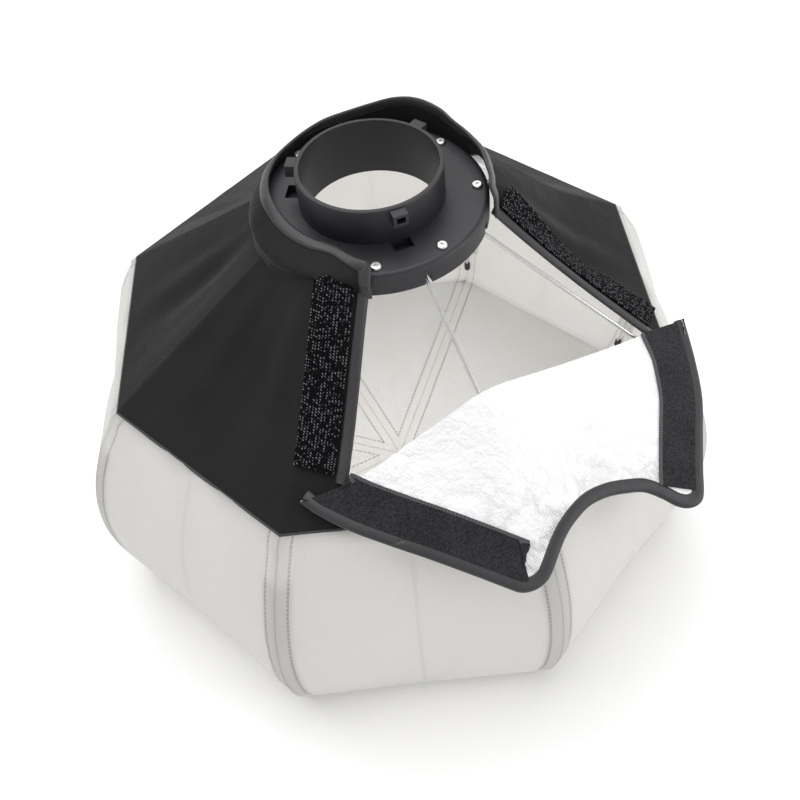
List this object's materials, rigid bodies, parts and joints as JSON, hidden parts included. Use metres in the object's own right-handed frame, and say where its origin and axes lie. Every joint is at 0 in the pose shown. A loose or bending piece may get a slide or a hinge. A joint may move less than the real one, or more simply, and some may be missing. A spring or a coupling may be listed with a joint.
{
  "type": "studio softbox",
  "caption": "Folding octagonal lantern softbox: bayonet hub, hinged steel ribs, black cover with silver lining, white diffusing walls and face, and a rear access flap.",
  "frame": {"origin": "centre of the flat front face, on the axis of the bayonet tube", "axes": "+Z along the tube's axis, away from the front face; -Y is the side the access flap opens towards; a corner rib stands every 45 degrees from 22.5 degrees"},
  "size_m": [0.476, 0.4841, 0.335],
  "materials": {
    "moulded_black": "satin",
    "screw_steel": "bright",
    "rod_steel": "bright drawn",
    "fitting_plastic": "matt",
    "black_cloth": "plain weave with a slight sheen",
    "silver_cloth": "reflective coated",
    "white_cloth": "translucent ripstop",
    "sleeve_cloth": "woven tape",
    "binding_tape": "satin tape",
    "hook_tape": "hook side of touch fastener",
    "loop_tape": "loop side of touch fastener"
  },
  "bodies": {
    "hub_and_shell": {"bayonet_plate": "moulded_black", "hub_ring": "moulded_black", "hinge_pins": "rod_steel", "hub_screws": "screw_steel", "back_cover": "black_cloth", "silver_lining": "silver_cloth", "side_wall": "white_cloth", "front_diffuser": "white_cloth", "rim_tape": "binding_tape", "neck_collar": "black_cloth", "neck_tape": "binding_tape", "slit_tape_left": "binding_tape", "slit_tape_right": "binding_tape", "hook_strip_left": "hook_tape", "hook_strip_right": "hook_tape", "rod_sleeves": "sleeve_cloth", "corner_pockets": "sleeve_cloth"},
    "rib_arm_1": {"rib_1": "rod_steel", "clevis_1": "fitting_plastic"},
    "stay_arm_1": {"stay_1": "rod_steel", "tip_1": "fitting_plastic"},
    "rib_arm_2": {"rib_2": "rod_steel", "clevis_2": "fitting_plastic"},
    "stay_arm_2": {"stay_2": "rod_steel", "tip_2": "fitting_plastic"},
    "rib_arm_3": {"rib_3": "rod_steel", "clevis_3": "fitting_plastic"},
    "stay_arm_3": {"stay_3": "rod_steel", "tip_3": "fitting_plastic"},
    "rib_arm_4": {"rib_4": "rod_steel", "clevis_4": "fitting_plastic"},
    "stay_arm_4": {"stay_4": "rod_steel", "tip_4": "fitting_plastic"},
    "rib_arm_5": {"rib_5": "rod_steel", "clevis_5": "fitting_plastic"},
    "stay_arm_5": {"stay_5": "rod_steel", "tip_5": "fitting_plastic"},
    "rib_arm_6": {"rib_6": "rod_steel", "clevis_6": "fitting_plastic"},
    "stay_arm_6": {"stay_6": "rod_steel", "tip_6": "fitting_plastic"},
    "rib_arm_7": {"rib_7": "rod_steel", "clevis_7": "fitting_plastic"},
    "stay_arm_7": {"stay_7": "rod_steel", "tip_7": "fitting_plastic"},
    "rib_arm_8": {"rib_8": "rod_steel", "clevis_8": "fitting_plastic"},
    "stay_arm_8": {"stay_8": "rod_steel", "tip_8": "fitting_plastic"},
    "flap": {"flap_panel": "black_cloth", "flap_lining": "silver_cloth", "flap_binding": "binding_tape", "flap_loop_strip_left": "loop_tape", "flap_loop_strip_right": "loop_tape"},
    "flap_tail": {"tail_panel": "black_cloth", "tail_lining": "silver_cloth", "tail_binding": "binding_tape", "tail_loop_strip_left": "loop_tape", "tail_loop_strip_right": "loop_tape"}
  },
  "joints": [
    {"name": "rib_fold_1", "type": "hinge", "parent": "hub_and_shell", "child": "rib_arm_1", "pos_m": [-0.06652, -0.02755, 0.29302], "axis": [0.3827, -0.9239, 0], "range_deg": [0, 48]},
    {"name": "rib_fold_2", "type": "hinge", "parent": "hub_and_shell", "child": "rib_arm_2", "pos_m": [-0.02755, -0.06652, 0.29302], "axis": [0.9239, -0.3827, 0], "range_deg": [0, 48]},
    {"name": "rib_fold_3", "type": "hinge", "parent": "hub_and_shell", "child": "rib_arm_3", "pos_m": [0.02755, -0.06652, 0.29302], "axis": [0.9239, 0.3827, 0], "range_deg": [0, 48], "deforming": ["back_cover", "silver_lining", "side_wall", "front_diffuser", "rim_tape", "neck_collar", "neck_tape", "slit_tape_left", "slit_tape_right", "hook_strip_left", "hook_strip_right", "rod_sleeves", "corner_pockets"]},
    {"name": "rib_fold_4", "type": "hinge", "parent": "hub_and_shell", "child": "rib_arm_4", "pos_m": [0.06652, -0.02755, 0.29302], "axis": [0.3827, 0.9239, 0], "range_deg": [0, 48]},
    {"name": "rib_fold_5", "type": "hinge", "parent": "hub_and_shell", "child": "rib_arm_5", "pos_m": [0.06652, 0.02755, 0.29302], "axis": [-0.3827, 0.9239, 0], "range_deg": [0, 48]},
    {"name": "rib_fold_6", "type": "hinge", "parent": "hub_and_shell", "child": "rib_arm_6", "pos_m": [0.02755, 0.06652, 0.29302], "axis": [-0.9239, 0.3827, 0], "range_deg": [0, 48]},
    {"name": "rib_fold_7", "type": "hinge", "parent": "hub_and_shell", "child": "rib_arm_7", "pos_m": [-0.02755, 0.06652, 0.29302], "axis": [-0.9239, -0.3827, 0], "range_deg": [0, 48]},
    {"name": "rib_fold_8", "type": "hinge", "parent": "hub_and_shell", "child": "rib_arm_8", "pos_m": [-0.06652, 0.02755, 0.29302], "axis": [-0.3827, -0.9239, 0], "range_deg": [0, 48]},
    {"name": "stay_bend_1", "type": "hinge", "parent": "rib_arm_1", "child": "stay_arm_1", "pos_m": [-0.19355, -0.08017, 0.19674], "axis": [0.3827, -0.9239, 0], "range_deg": [-24, 0]},
    {"name": "stay_bend_2", "type": "hinge", "parent": "rib_arm_2", "child": "stay_arm_2", "pos_m": [-0.08017, -0.19355, 0.19674], "axis": [0.9239, -0.3827, 0], "range_deg": [-24, 0]},
    {"name": "stay_bend_3", "type": "hinge", "parent": "rib_arm_3", "child": "stay_arm_3", "pos_m": [0.08017, -0.19355, 0.19674], "axis": [0.9239, 0.3827, 0], "range_deg": [-24, 0]},
    {"name": "stay_bend_4", "type": "hinge", "parent": "rib_arm_4", "child": "stay_arm_4", "pos_m": [0.19355, -0.08017, 0.19674], "axis": [0.3827, 0.9239, 0], "range_deg": [-24, 0]},
    {"name": "stay_bend_5", "type": "hinge", "parent": "rib_arm_5", "child": "stay_arm_5", "pos_m": [0.19355, 0.08017, 0.19674], "axis": [-0.3827, 0.9239, 0], "range_deg": [-24, 0]},
    {"name": "stay_bend_6", "type": "hinge", "parent": "rib_arm_6", "child": "stay_arm_6", "pos_m": [0.08017, 0.19355, 0.19674], "axis": [-0.9239, 0.3827, 0], "range_deg": [-24, 0]},
    {"name": "stay_bend_7", "type": "hinge", "parent": "rib_arm_7", "child": "stay_arm_7", "pos_m": [-0.08017, 0.19355, 0.19674], "axis": [-0.9239, -0.3827, 0], "range_deg": [-24, 0]},
    {"name": "stay_bend_8", "type": "hinge", "parent": "rib_arm_8", "child": "stay_arm_8", "pos_m": [-0.19355, 0.08017, 0.19674], "axis": [-0.3827, -0.9239, 0], "range_deg": [-24, 0]},
    {"name": "flap_fold", "type": "hinge", "parent": "rib_arm_3", "child": "flap", "pos_m": [0.06128, -0.13142, 0.25279], "axis": [-0.9063, -0.4226, 0], "range_deg": [0, 180]},
    {"name": "flap_tail_bend", "type": "hinge", "parent": "flap", "child": "flap_tail", "pos_m": [0.08452, -0.18126, 0.21428], "axis": [-0.9063, -0.4226, 0], "range_deg": [-55, 0]}
  ],
  "couplings": [
    {"joint": "rib_fold_1", "follows": "rib_fold_3", "ratio": 1},
    {"joint": "rib_fold_2", "follows": "rib_fold_3", "ratio": 1},
    {"joint": "rib_fold_4", "follows": "rib_fold_3", "ratio": 1},
    {"joint": "rib_fold_5", "follows": "rib_fold_3", "ratio": 1},
    {"joint": "rib_fold_6", "follows": "rib_fold_3", "ratio": 1},
    {"joint": "rib_fold_7", "follows": "rib_fold_3", "ratio": 1},
    {"joint": "rib_fold_8", "follows": "rib_fold_3", "ratio": 1},
    {"joint": "stay_bend_1", "follows": "rib_fold_3", "ratio": -0.5},
    {"joint": "stay_bend_2", "follows": "rib_fold_3", "ratio": -0.5},
    {"joint": "stay_bend_3", "follows": "rib_fold_3", "ratio": -0.5},
    {"joint": "stay_bend_4", "follows": "rib_fold_3", "ratio": -0.5},
    {"joint": "stay_bend_5", "follows": "rib_fold_3", "ratio": -0.5},
    {"joint": "stay_bend_6", "follows": "rib_fold_3", "ratio": -0.5},
    {"joint": "stay_bend_7", "follows": "rib_fold_3", "ratio": -0.5},
    {"joint": "stay_bend_8", "follows": "rib_fold_3", "ratio": -0.5},
    {"joint": "flap_tail_bend", "follows": "flap_fold", "ratio": -0.305}
  ]
}
